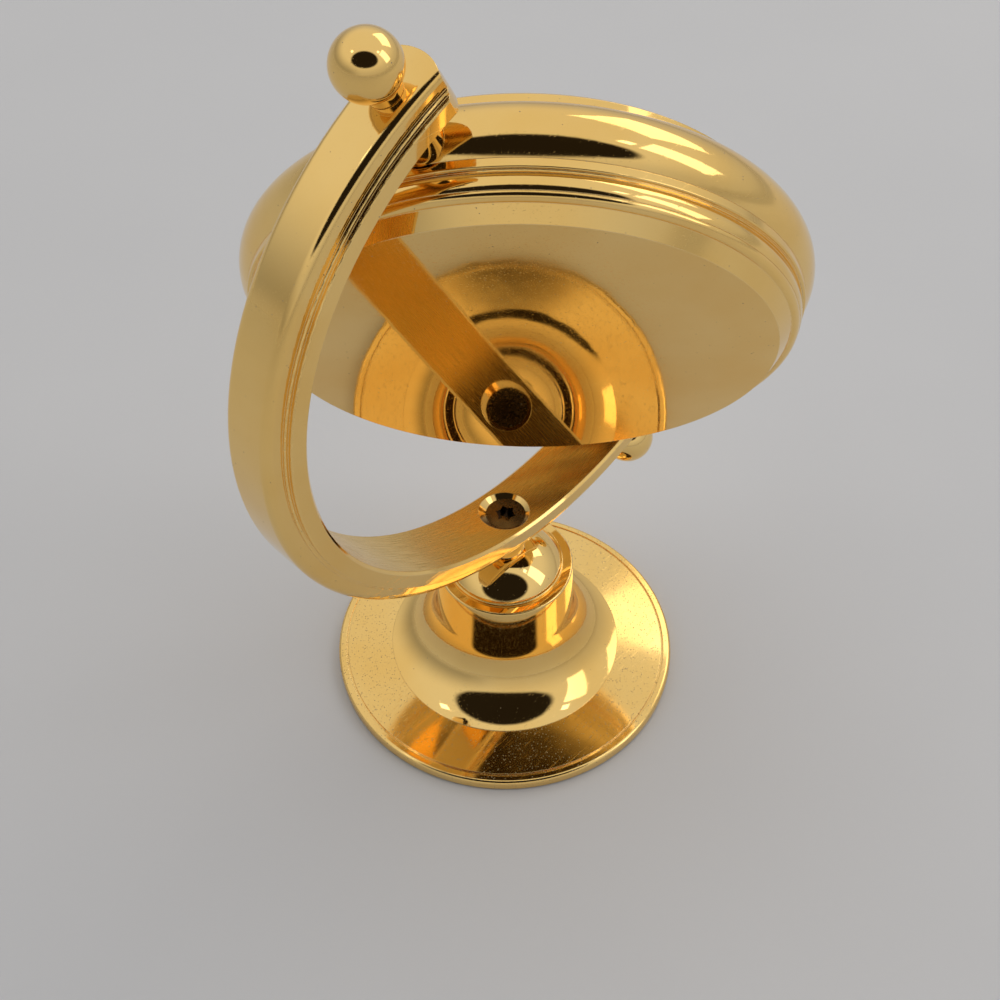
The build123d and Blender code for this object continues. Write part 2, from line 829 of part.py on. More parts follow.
# Movement plate: floor, outer wall, screw bosses, battery well, hand bush and minute wheel post
well_floor = cover_back + battery_height + contact_thickness
well_radius = battery_radius + battery_gap + well_wall
boss_places = [polar_place(boss_circle, angle) for angle in boss_angles]
with BuildPart() as movement_plate:
    with BuildSketch(head.offset(dial_back)):
        Circle(movement_radius)
    extrude(amount=-plate_floor)
    with BuildSketch(head.offset(floor_back)):
        Circle(movement_radius)
        Circle(movement_radius - movement_wall, mode=Mode.SUBTRACT)
        with Locations(*boss_places):
            Circle(boss_radius)
        with Locations(battery_place):
            Circle(well_radius)
    extrude(amount=cover_front - floor_back)
    with BuildSketch(head.offset(well_floor)):
        with Locations(battery_place):
            Circle(battery_radius + battery_gap)
    extrude(amount=cover_front - well_floor, mode=Mode.SUBTRACT)
    with BuildSketch(head.offset(cover_front)):
        with Locations(*boss_places):
            Circle(case_screw_radius + fit_gap)
    extrude(amount=case_screw_reach, mode=Mode.SUBTRACT)
    with BuildSketch(head.offset(floor_back)):
        Circle(bush_radius)
    extrude(amount=dial_front - floor_back)
    with BuildSketch(spindle(minute_place, floor_back)):
        Circle(post_radius)
    extrude(amount=level(MINUTE) - wheel_thickness / 2 - floor_back)
    with BuildSketch(head.offset(floor_back)):
        Circle(bush_bore)
    extrude(amount=dial_front - floor_back, mode=Mode.SUBTRACT)
    with BuildSketch(head.offset(floor_back)):
        with Locations(third_place, intermediate_place, rotor_place):
            Circle(arbor_radius + run_gap)
        with Locations(setting_place):
            Circle(setting_arbor_radius + run_gap)
    extrude(amount=pivot_depth + end_gap, mode=Mode.SUBTRACT)
finish(movement_plate, "movement_plate")

# Movement cover, with bearings and the battery's opening
with BuildPart() as movement_cover:
    with BuildSketch(head.offset(cover_front)):
        Circle(movement_radius)
        with Locations(*boss_places):
            Circle(case_screw_radius + run_gap, mode=Mode.SUBTRACT)
        with Locations(battery_place):
            Circle(battery_radius + battery_gap, mode=Mode.SUBTRACT)
        Circle(second_arbor_radius + run_gap, mode=Mode.SUBTRACT)
        with Locations(third_place, intermediate_place, rotor_place):
            Circle(arbor_radius + run_gap, mode=Mode.SUBTRACT)
        with Locations(setting_place):
            Circle(setting_arbor_radius + run_gap, mode=Mode.SUBTRACT)
    extrude(amount=-cover_plate)
finish(movement_cover, "movement_cover")

# Screws of the movement cover, one group of alike pieces
with BuildPart() as movement_screws:
    with BuildSketch(head.offset(cover_back)):
        with Locations(*boss_places):
            Circle(case_screw_head_radius)
    extrude(amount=-case_screw_head_height)
    with BuildSketch(head.offset(cover_back)):
        with Locations(*boss_places):
            Circle(case_screw_radius)
    extrude(amount=cover_plate + case_screw_reach - end_gap)
finish(movement_screws, "movement_screws")

# Battery: a button cell with a stepped can
with BuildPart() as battery:
    with BuildSketch(spindle(battery_place, cover_back)):
        Circle(battery_radius)
    extrude(amount=battery_height - battery_shoulder)
    with BuildSketch(spindle(battery_place, cover_back + battery_height - battery_shoulder)):
        Circle(battery_radius - battery_shoulder)
    extrude(amount=battery_shoulder)
finish(battery, "battery")

with BuildPart() as battery_contact:
    with BuildSketch(spindle(battery_place, well_floor)):
        Circle(contact_radius)
    extrude(amount=-contact_thickness)
finish(battery_contact, "battery_contact")

with BuildPart() as battery_clip:
    with BuildSketch(spindle(battery_place, cover_back)):
        SlotOverall(clip_length, clip_width)
    extrude(amount=-clip_thickness)
finish(battery_clip, "battery_clip")

# Circuit board and its quartz can
with BuildPart() as circuit_board:
    with BuildSketch(spindle(board_place, floor_back)):
        Rectangle(board_width, board_length)
    extrude(amount=-board_thickness)
finish(circuit_board, "circuit_board")

board_back = floor_back - board_thickness
with BuildPart() as quartz_can:
    can_start = spindle(board_place, board_back - quartz_radius).origin - head.y_dir * (quartz_length / 2)
    with BuildSketch(Plane(can_start, x_dir=head.x_dir, z_dir=head.y_dir)):
        Circle(quartz_radius)
    extrude(amount=quartz_length)
finish(quartz_can, "quartz_can")

# Stepping motor: stator plate, coil on its core, and the rotor
stator_front = level(ROTOR) + stator_thickness / 2
core_level = stator_front + coil_radius + end_gap
lug_offset = coil_length / 2 + core_lug_gap + stator_foot_radius
core_places = [(coil_place[0] + side * lug_offset, coil_place[1]) for side in (-1, 1)]
with BuildPart() as stator:
    with BuildSketch(head.offset(stator_front)):
        for core_place in core_places:
            with BuildSketch(mode=Mode.PRIVATE) as leg:
                with Locations(rotor_place):
                    Circle(stator_ring_radius)
                with Locations(core_place):
                    Circle(stator_foot_radius)
                make_hull()
            add(leg.sketch)
        with Locations(rotor_place):
            Circle(stator_bore, mode=Mode.SUBTRACT)
    extrude(amount=-stator_thickness)
finish(stator, "stator")

with BuildPart() as coil_core:
    with BuildSketch(head.offset(stator_front)):
        with Locations(*core_places):
            Circle(stator_foot_radius)
    extrude(amount=core_level + core_radius + end_gap - stator_front)
    bar_start = spindle(core_places[0], core_level).origin
    with BuildSketch(Plane(bar_start, x_dir=head.y_dir, z_dir=head.x_dir)):
        Circle(core_radius)
    extrude(amount=2 * lug_offset)
finish(coil_core, "coil_core")

with BuildPart() as coil:
    coil_start = spindle((coil_place[0] - coil_length / 2, coil_place[1]), core_level).origin
    coil_plane = Plane(coil_start, x_dir=head.y_dir, z_dir=head.x_dir)
    with BuildSketch(coil_plane):
        Circle(coil_radius)
    extrude(amount=coil_length)
    with BuildSketch(coil_plane.offset(coil_flange)):
        Circle(coil_radius)
        Circle(coil_radius - coil_flange / 2, mode=Mode.SUBTRACT)
    extrude(amount=coil_length - 2 * coil_flange, mode=Mode.SUBTRACT)
    with BuildSketch(coil_plane):
        Circle(core_radius + fit_gap)
    extrude(amount=coil_length, mode=Mode.SUBTRACT)
finish(coil, "coil")


def pinion_span(wheel_level):
    """Back and length of a pinion that reaches from its own wheel to the level in front."""
    return level(wheel_level) + wheel_thickness / 2, level_pitch


arbor_front = floor_back + pivot_depth
arbor_length = arbor_front - cover_back

# Rotor: magnet, pinion and arbor
with BuildPart() as rotor:
    with BuildSketch(spindle(rotor_place, level(ROTOR))):
        Circle(magnet_radius)
    extrude(amount=magnet_height / 2, both=True)
    with BuildSketch(spindle(rotor_place, level(ROTOR))):
        add(wheel_face(rotor_pinion_teeth, rotor_module, arbor_radius), rotation=rotor_angle + 180)
    extrude(amount=level_pitch + wheel_thickness / 2)
    with BuildSketch(spindle(rotor_place, cover_back)):
        Circle(arbor_radius)
    extrude(amount=arbor_length)
finish(rotor, "rotor")


def compound_wheel(place, step, teeth, size, turn, pinion_teeth, pinion_size, pinion_turn):
    """Spoked wheel with the pinion in front of it, on one arbor between plate and cover."""
    with BuildPart() as wheel:
        with BuildSketch(spindle(place, level(step))):
            add(wheel_face(teeth, size, arbor_radius, spokes=True), rotation=turn)
        extrude(amount=wheel_thickness / 2, both=True)
        pinion_back, pinion_length = pinion_span(step)
        with BuildSketch(spindle(place, pinion_back)):
            add(wheel_face(pinion_teeth, pinion_size, arbor_radius), rotation=pinion_turn)
        extrude(amount=pinion_length)
        with BuildSketch(spindle(place, cover_back)):
            Circle(arbor_radius)
        extrude(amount=arbor_length)
    return wheel


intermediate_wheel = compound_wheel(
    intermediate_place,
    INTERMEDIATE,
    intermediate_teeth,
    rotor_module,
    rotor_angle + tooth_gap(intermediate_teeth),
    intermediate_pinion_teeth,
    fourth_module,
    intermediate_angle + 180,
)
finish(intermediate_wheel, "intermediate_wheel")

third_wheel = compound_wheel(
    third_place,
    THIRD,
    third_teeth,
    seconds_module,
    third_angle + 180 + tooth_gap(third_teeth),
    third_pinion_teeth,
    centre_module,
    third_angle + 180,
)
finish(third_wheel, "third_wheel")

# Second wheel, whose arbor runs through the hand tubes to the second hand
with BuildPart() as second_wheel:
    with BuildSketch(head.offset(level(SECOND))):
        add(
            wheel_face(second_teeth, fourth_module, second_arbor_radius, spokes=True),
            rotation=intermediate_angle + tooth_gap(second_teeth),
        )
    extrude(amount=wheel_thickness / 2, both=True)
    second_pinion_back, second_pinion_length = pinion_span(SECOND)
    with BuildSketch(head.offset(second_pinion_back)):
        add(wheel_face(second_pinion_teeth, seconds_module, second_arbor_radius), rotation=third_angle)
    extrude(amount=second_pinion_length)
    with BuildSketch(head.offset(cover_back)):
        Circle(second_arbor_radius)
    extrude(amount=second_arbor_front - cover_back)
finish(second_wheel, "second_wheel")

# Centre wheel, with the cannon pinion on the tube of the minute hand
with BuildPart() as centre_wheel:
    with BuildSketch(head.offset(level(CENTRE))):
        add(
            wheel_face(centre_teeth, centre_module, minute_tube_bore, spokes=True),
            rotation=third_angle + tooth_gap(centre_teeth),
        )
    extrude(amount=wheel_thickness / 2, both=True)
    cannon_back, cannon_length = pinion_span(CENTRE)
    with BuildSketch(head.offset(cannon_back)):
        add(wheel_face(cannon_teeth, cannon_module, minute_tube_bore), rotation=motion_angle)
    extrude(amount=cannon_length)
    with BuildSketch(head.offset(cannon_back)):
        Circle(minute_tube_radius)
        Circle(minute_tube_bore, mode=Mode.SUBTRACT)
    extrude(amount=minute_tube_front - cannon_back)
finish(centre_wheel, "centre_wheel")

# Minute wheel on its post, and the hour wheel on the tube of the hour hand
with BuildPart() as minute_wheel:
    with BuildSketch(spindle(minute_place, level(MINUTE))):
        add(
            wheel_face(minute_teeth, cannon_module, post_radius + run_gap),
            rotation=motion_angle + 180 + tooth_gap(minute_teeth),
        )
    extrude(amount=wheel_thickness / 2, both=True)
    minute_pinion_back, minute_pinion_length = pinion_span(MINUTE)
    with BuildSketch(spindle(minute_place, minute_pinion_back)):
        add(
            wheel_face(minute_pinion_teeth, hour_module, post_radius + run_gap),
            rotation=motion_angle + 180,
        )
    extrude(amount=minute_pinion_length)
finish(minute_wheel, "minute_wheel")

with BuildPart() as hour_wheel:
    with BuildSketch(head.offset(level(HOUR))):
        add(
            wheel_face(hour_teeth, hour_module, hour_tube_bore),
            rotation=motion_angle + tooth_gap(hour_teeth),
        )
    extrude(amount=wheel_thickness / 2, both=True)
    with BuildSketch(head.offset(level(HOUR))):
        Circle(hour_tube_radius)
        Circle(hour_tube_bore, mode=Mode.SUBTRACT)
    extrude(amount=hour_tube_front - level(HOUR))
finish(hour_wheel, "hour_wheel")

# Setting arbor with its pinion, and the fluted knob behind the movement
with BuildPart() as setting_arbor:
    with BuildSketch(spindle(setting_place, level(MINUTE))):
        add(
            wheel_face(setting_teeth, cannon_module, setting_arbor_radius),
            rotation=motion_angle + 180,
        )
    extrude(amount=wheel_thickness / 2, both=True)
    with BuildSketch(spindle(setting_place, cover_back - end_gap - setting_knob_height)):
        Circle(setting_arbor_radius)
    extrude(amount=arbor_front - cover_back + end_gap + setting_knob_height)
finish(setting_arbor, "setting_arbor")

with BuildPart() as setting_knob:
    with BuildSketch(spindle(setting_place, cover_back - end_gap)):
        Circle(setting_knob_radius)
        with PolarLocations(setting_knob_radius, knob_flutes):
            Circle(knob_flute_radius, mode=Mode.SUBTRACT)
        Circle(setting_arbor_radius + fit_gap, mode=Mode.SUBTRACT)
    extrude(amount=-setting_knob_height)
finish(setting_knob, "setting_knob")


def pointed_hand(back, turns, length, width, hub, bore):
    """Leaf-shaped hand on a round hub."""
    with BuildPart() as hand:
        with BuildSketch(spindle((0, 0), back, -full_turn * turns)):
            with BuildLine():
                belly = hand_belly_share * length
                Polyline(
                    (-hand_tip, -hand_tail),
                    (hand_tip, -hand_tail),
                    (hand_tip, hub),
                    (width / 2, belly),
                    (0, length),
                    (-width / 2, belly),
                    (-hand_tip, hub),
                    close=True,
                )
            make_face()
            Circle(hub)
            Circle(bore, mode=Mode.SUBTRACT)
        extrude(amount=hand_thickness)
    return hand


# Hands
hour, minute, second = rest_time
minute_turns = (minute + second / 60) / 60
hour_turns = (hour + minute_turns) / 12
hour_hand = pointed_hand(
    hour_hand_back, hour_turns, hour_length, hour_width, hour_hub, hour_tube_radius + fit_gap
)
finish(hour_hand, "hour_hand")

minute_hand = pointed_hand(
    minute_hand_back,
    minute_turns,
    minute_length,
    minute_width,
    minute_hub,
    minute_tube_radius + fit_gap,
)
finish(minute_hand, "minute_hand")

with BuildPart() as second_hand:
    with BuildSketch(spindle((0, 0), second_hand_back, -full_turn * second / 60)):
        with BuildLine():
            Polyline(
                (-second_tail_width / 2, -second_tail),
                (second_tail_width / 2, -second_tail),
                (second_width / 2, 0),
                (0, second_length),
                (-second_width / 2, 0),
                close=True,
            )
        make_face()
        Circle(second_hub)
        Circle(second_arbor_radius + fit_gap, mode=Mode.SUBTRACT)
    extrude(amount=hand_thickness)
finish(second_hand, "second_hand")
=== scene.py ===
import json
from math import acos, cos, hypot, pi, radians, sin, tau

import bmesh
import bpy
from mathutils import Matrix, Vector, noise


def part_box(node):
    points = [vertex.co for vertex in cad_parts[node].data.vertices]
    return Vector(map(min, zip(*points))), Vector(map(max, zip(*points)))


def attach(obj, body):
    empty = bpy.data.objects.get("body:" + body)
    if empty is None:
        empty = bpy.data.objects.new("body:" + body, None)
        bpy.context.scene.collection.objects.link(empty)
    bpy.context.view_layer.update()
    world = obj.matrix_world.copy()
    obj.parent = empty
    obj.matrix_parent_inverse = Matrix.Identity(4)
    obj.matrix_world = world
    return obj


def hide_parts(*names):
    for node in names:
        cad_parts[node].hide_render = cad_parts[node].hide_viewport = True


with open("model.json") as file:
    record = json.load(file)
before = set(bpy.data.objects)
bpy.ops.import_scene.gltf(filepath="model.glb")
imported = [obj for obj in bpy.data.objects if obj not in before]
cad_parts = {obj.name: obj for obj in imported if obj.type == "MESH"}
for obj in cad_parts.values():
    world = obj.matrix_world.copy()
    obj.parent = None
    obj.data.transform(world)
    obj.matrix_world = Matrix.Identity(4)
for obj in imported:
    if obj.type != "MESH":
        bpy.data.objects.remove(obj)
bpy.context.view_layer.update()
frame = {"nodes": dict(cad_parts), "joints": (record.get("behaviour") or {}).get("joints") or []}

scene = bpy.context.scene
mm = 0.001
up = Vector((0, 0, 1))

# Frame of the clock head, from its joints: front leaves the dial, three and twelve lie in it
joints = {joint["name"]: joint for joint in frame["joints"]}
arm_centre = Vector(joints["head_turn"]["pos_m"])
polar = Vector(joints["head_turn"]["axis"])
front = Vector(joints["second_spin"]["axis"])
twelve = Matrix.Rotation(polar.angle(up), 3, front) @ polar
three = twelve.cross(front)


def points(node):
    """Places of a CAD node's vertices, seen from the arm's centre."""
    return [vertex.co - arm_centre for vertex in frame["nodes"][node].data.vertices]


def front_of(node):
    """How far a node of the head reaches towards the dial's side."""
    return max(point.dot(front) for point in points(node))


def bore_of(node):
    """Smallest distance of a node from the head's axis."""
    return min((point - front * point.dot(front)).length for point in points(node))


dial_face = front_of("dial")
dial_radius = bore_of("dial_ring")
arm_face_radius = min(hypot(point.x, point.z) for point in points("meridian_arm"))


class Tree:
    """Node tree with short calls for the nodes that the looks are made of."""

    def __init__(self, owner):
        owner.use_nodes = True
        self.nodes = owner.node_tree.nodes
        self.links = owner.node_tree.links

    def put(self, node, socket, value):
        """Link an output to an input, or set the input to a constant."""
        if isinstance(value, bpy.types.NodeSocket):
            self.links.new(value, node.inputs[socket])
        else:
            node.inputs[socket].default_value = value

    def add(self, kind, inputs, **settings):
        """New node with its settings and inputs."""
        node = self.nodes.new(kind)
        for name, value in settings.items():
            setattr(node, name, value)
        for socket, value in inputs.items():
            self.put(node, socket, value)
        return node

    def math(self, operation, first, second=0.0):
        return self.add("ShaderNodeMath", {0: first, 1: second}, operation=operation).outputs[0]

    def plus(self, value, share, amount):
        """A value raised by a share of an amount."""
        return self.math("ADD", value, self.math("MULTIPLY", share, amount))

    def vector(self, operation, first, second=(0, 0, 0), output="Vector"):
        node = self.add("ShaderNodeVectorMath", {0: first, 1: second}, operation=operation)
        return node.outputs[output]

    def along(self, vector, axis):
        """How far a vector reaches along an axis."""
        return self.vector("DOT_PRODUCT", vector, tuple(axis), "Value")

    def split(self, vector):
        return self.add("ShaderNodeSeparateXYZ", {0: vector}).outputs

    def join(self, x=0.0, y=0.0, z=0.0):
        return self.add("ShaderNodeCombineXYZ", {0: x, 1: y, 2: z}).outputs[0]

    def ramp(self, value, low, high, to_low=0.0, to_high=1.0):
        """Smooth step of a value between two levels."""
        inputs = {"Value": value, "From Min": low, "From Max": high, "To Min": to_low, "To Max": to_high}
        return self.add("ShaderNodeMapRange", inputs, interpolation_type="SMOOTHSTEP").outputs[0]

    def mix(self, share, first, second):
        """Colour between two colours."""
        inputs = {0: share, 6: first, 7: second}
        return self.add("ShaderNodeMix", inputs, data_type="RGBA").outputs[2]

    def noise(self, place, scale, detail=2.0):
        inputs = {"Vector": place, "Scale": scale, "Detail": detail}
        return self.add("ShaderNodeTexNoise", inputs).outputs["Fac"]

    def streaks(self, place, turn, along, across):
        """Noise drawn out into lines: its scale along and across them, per metre."""
        inputs = {"Vector": place, "Rotation": turn, "Scale": (along, across, across)}
        return self.noise(self.add("ShaderNodeMapping", inputs).outputs[0], 1.0)

    def bump(self, height, distance, normal=None):
        inputs = {"Height": height, "Distance": distance}
        if normal is not None:
            inputs["Normal"] = normal
        return self.add("ShaderNodeBump", inputs).outputs[0]


class Surface(Tree):
    """Material with a Principled shader, textured by the object's own place in metres."""

    def __init__(self, name, **sockets):
        self.material = bpy.data.materials.new(name)
        super().__init__(self.material)
        self.shader = self.nodes["Principled BSDF"]
        self.place = self.add("ShaderNodeTexCoord", {}).outputs["Object"]
        self.set(**sockets)

    def set(self, **sockets):
        """Set shader inputs, named in lower case with underscores."""
        for name, value in sockets.items():
            words = name.replace("_", " ").title().replace("Ior", "IOR")
            self.put(self.shader, words, value)


# Gold plate: its tones
gold_tone = (0.97, 0.67, 0.25, 1)
gold_deep = (0.92, 0.58, 0.17, 1)
# Lighter gold for the edges: partly worn plate, partly a painted highlight
worn_and_highlit_gold = (1.0, 0.78, 0.42, 1)
satin_tone = (0.73, 0.54, 0.19, 1)
dust_tone = (0.28, 0.22, 0.14, 1)

# Gold plate: wipe haze, uneven polish, scratches, and edges made lighter both as wear and as a painted
# highlight, with scales per metre
haze_scale = 55.0
haze_detail = 4.0
haze_levels = (0.3, 0.8)
peel_scale = 130.0
peel_depth = 0.012 * mm
scratch_turns = ((0.3, 0.7, 0.4), (1.2, 0.2, 2.1))
scratch_scales = (60.0, 5200.0)
scratch_levels = (0.66, 0.74)
scratch_depth = 0.0015 * mm
scratch_rough = 0.10
edge_radius = 0.14 * mm
edge_samples = 4
edge_levels = (0.995, 0.90)
edge_wear_and_highlight_share = 0.6
edge_rough = 0.08

# Gold plate: dust specks
dust_scale = 5200.0
dust_sizes = (0.16, 0.48)
dust_rim_levels = (1.0, 0.6)
dust_haze_levels = (0.35, 0.65)
dust_least_share = 0.4
dust_rough = 0.6

# Gold plate: satin strokes along the arm's inner face, as turns per radian, scale across and detail
satin_edge_levels = (arm_face_radius + 0.05 * mm, arm_face_radius + 0.02 * mm)
fine_strokes = (9.0, 9000.0, 4.0)
coarse_strokes = (5.0, 2600.0, 3.0)
coarse_levels = (0.62, 0.70)
stroke_depth = 0.0035 * mm
stroke_rough_levels = (0.3, 0.7)
stroke_rough = (0.14, 0.26)
stroke_tone_levels = (0.35, 0.7)
stroke_tone_shares = (0.2, 0.8)


def dust_on(gold, cloud, specks):
    """Where dust lies: round specks of several sizes, more of them in the hazy places."""
    cells = gold.add("ShaderNodeTexVoronoi", {"Vector": gold.place, "Scale": dust_scale})
    chance, grain, _ = gold.split(cells.outputs["Color"])
    size = gold.ramp(gold.math("MULTIPLY", grain, grain), 0.0, 1.0, *dust_sizes)
    dots = gold.ramp(gold.math("DIVIDE", cells.outputs["Distance"], size), *dust_rim_levels)
    crowd = gold.ramp(cloud, *dust_haze_levels, 1.0 - dust_least_share * specks, 1.0 - specks)
    return gold.math("MULTIPLY", dots, gold.math("GREATER_THAN", chance, crowd))


def satin_on(gold):
    """The arm's inner face, the fine strokes along it, and the height of all its strokes."""
    x, y, z = gold.split(gold.vector("SUBTRACT", gold.place, tuple(arm_centre)))
    square = gold.math("ADD", gold.math("MULTIPLY", x, x), gold.math("MULTIPLY", z, z))
    face = gold.ramp(gold.math("SQRT", square), *satin_edge_levels)
    angle = gold.math("ARCTAN2", z, x)

    def strokes(along, across, detail):
        place = gold.join(gold.math("MULTIPLY", angle, along), gold.math("MULTIPLY", y, across))
        return gold.noise(place, 1.0, detail)

    fine = strokes(*fine_strokes)
    height = gold.math("ADD", fine, gold.ramp(strokes(*coarse_strokes), *coarse_levels))
    return face, fine, gold.math("MULTIPLY", height, face)


def plated_gold(name, mirror=0.035, haze=0.06, specks=0.015, satin_face=False):
    """Mirror gold plate with wipe haze, fine scratches, dust specks, and edges lightened both as wear and
    as a painted highlight.
    """
    gold = Surface(name)
    cloud = gold.noise(gold.place, haze_scale, haze_detail)
    peel = gold.noise(gold.place, peel_scale)
    lines = [gold.streaks(gold.place, turn, *scratch_scales) for turn in scratch_turns]
    scratch = gold.math("MAXIMUM", *[gold.ramp(line, *scratch_levels) for line in lines])
    dust = dust_on(gold, cloud, specks)

    bevel = gold.add("ShaderNodeBevel", {"Radius": edge_radius}, samples=edge_samples).outputs[0]
    shading = gold.add("ShaderNodeNewGeometry", {}).outputs["Normal"]
    edge = gold.ramp(gold.vector("DOT_PRODUCT", bevel, shading, "Value"), *edge_levels)

    colour = gold.mix(gold.ramp(cloud, *haze_levels), gold_tone, gold_deep)
    # Edges lighter in colour: partly worn plate, partly a painted highlight where rounded edges would
    # catch light
    colour = gold.mix(gold.math("MULTIPLY", edge, edge_wear_and_highlight_share), colour, worn_and_highlit_gold)
    rough = gold.ramp(cloud, *haze_levels, mirror, mirror + haze)
    rough = gold.plus(rough, scratch, scratch_rough)
    rough = gold.plus(rough, edge, edge_rough)
    normal = gold.bump(peel, peel_depth, bevel)
    normal = gold.bump(scratch, scratch_depth, normal)
    if satin_face:
        face, fine, height = satin_on(gold)
        rough = gold.plus(rough, face, gold.ramp(fine, *stroke_rough_levels, *stroke_rough))
        normal = gold.bump(height, stroke_depth, normal)
        satin = gold.ramp(fine, *stroke_tone_levels, *stroke_tone_shares)
        colour = gold.mix(gold.math("MULTIPLY", face, satin), colour, satin_tone)
    rough = gold.plus(rough, dust, dust_rough)
    gold.set(base_color=gold.mix(dust, colour, dust_tone), metallic=gold.math("SUBTRACT", 1.0, dust))
    gold.set(roughness=rough, normal=normal)
    return gold.material


# Levels between which the noise of the plainer materials runs from one tone or gloss to the other
patch_levels = (0.3, 0.7)
gloss_levels = (0.15, 0.4)
patch_detail = 3.0
stripe_detail = 4.0


def mottled(name, light, dark, rough=(0.35, 0.5), grain=2500.0, depth=0.004, cloud=150.0, **sockets):
    """Even material with a cloudy tone, a grain in its gloss and a fine uneven face, its depth in mm."""
    look = Surface(name, **sockets)
    patch = look.noise(look.place, cloud, patch_detail)
    fine = look.noise(look.place, grain, patch_detail)
    look.set(base_color=look.mix(look.ramp(patch, *patch_levels), (*light, 1), (*dark, 1)))
    look.set(roughness=look.ramp(look.math("MULTIPLY", patch, fine), *gloss_levels, *rough))
    look.set(normal=look.bump(fine, depth * mm))
    return look.material


def brushed(name, light, dark, axis, rough=(0.22, 0.36), lines=9000.0, cloud=200.0, depth=0.003):
    """Metal brushed across an axis, with fine lines that run square to it, their depth in mm."""
    look = Surface(name, metallic=1.0)
    level = look.along(look.place, axis)
    stripe = look.noise(look.join(look.math("MULTIPLY", level, lines)), 1.0, stripe_detail)
    patch = look.noise(look.place, cloud, patch_detail)
    look.set(base_color=look.mix(look.math("MULTIPLY", stripe, patch), (*light, 1), (*dark, 1)))
    look.set(roughness=look.ramp(stripe, *patch_levels, *rough), normal=look.bump(stripe, depth * mm))
    return look.material


def glass(name):
    """Clear mineral glass with faint wipe marks, which lets the lamps' light through."""
    tone = (0.985, 1.0, 0.995, 1)
    shadow_tone = (0.95, 0.97, 0.96, 1)
    smear_turn, smear_scales = (0.4, 0.9, 0.2), (60.0, 420.0)
    smear_levels, smear_rough = (0.45, 0.8), (0.0, 0.035)
    look = Surface(name, base_color=tone, transmission_weight=1.0, ior=1.5)
    smear = look.streaks(look.place, smear_turn, *smear_scales)
    look.set(roughness=look.ramp(smear, *smear_levels, *smear_rough))
    clear = look.add("ShaderNodeBsdfTransparent", {"Color": shadow_tone}).outputs[0]
    from_lamp = look.add("ShaderNodeLightPath", {}).outputs["Is Shadow Ray"]
    both = look.add("ShaderNodeMixShader", {0: from_lamp, 1: look.shader.outputs[0], 2: clear})
    look.put(look.nodes["Material Output"], "Surface", both.outputs[0])
    return look.material


def felt(name):
    """Matted wool: short fibres lying in all directions, with a soft sheen."""
    low_tone, high_tone = (0.006, 0.016, 0.010, 1), (0.035, 0.085, 0.05, 1)
    fibre_turns, fibre_scales = ((0.2, 0.1, 0.5), (0.1, 0.3, 2.0)), (900.0, 9000.0)
    tone_levels, rough_levels, rough = (0.4, 0.75), (0.3, 0.8), (0.98, 0.82)
    fibre_depth = 0.05 * mm
    look = Surface(name, sheen_weight=0.6, sheen_roughness=0.5, specular_ior_level=0.15)
    layers = [look.streaks(look.place, turn, *fibre_scales) for turn in fibre_turns]
    fibre = look.math("MAXIMUM", *layers)
    look.set(base_color=look.mix(look.ramp(fibre, *tone_levels), low_tone, high_tone))
    look.set(roughness=look.ramp(fibre, *rough_levels, *rough), normal=look.bump(fibre, fibre_depth))
    return look.material


def wound_wire(name, axis, pitch):
    """Enamelled copper wire wound side by side along an axis, with painted shade darkening the grooves
    between turns.
    """
    groove_shade_tone, wire_tone = (0.25, 0.06, 0.02, 1), (0.86, 0.38, 0.18, 1)
    tone_levels, rough = (-1.0, 0.6), (0.22, 0.4)
    patch_scale = 1200.0
    wire_depth = 0.03 * mm
    look = Surface(name, metallic=1.0, coat_weight=0.6, coat_roughness=0.15)
    turn = look.math("SINE", look.math("MULTIPLY", look.along(look.place, axis), tau / pitch))
    patch = look.noise(look.place, patch_scale, patch_detail)
    # Painted shade: the colour goes dark in the grooves between the wire's turns
    look.set(base_color=look.mix(look.ramp(turn, *tone_levels), groove_shade_tone, wire_tone))
    look.set(roughness=look.ramp(patch, *patch_levels, *rough), normal=look.bump(turn, wire_depth))
    return look.material


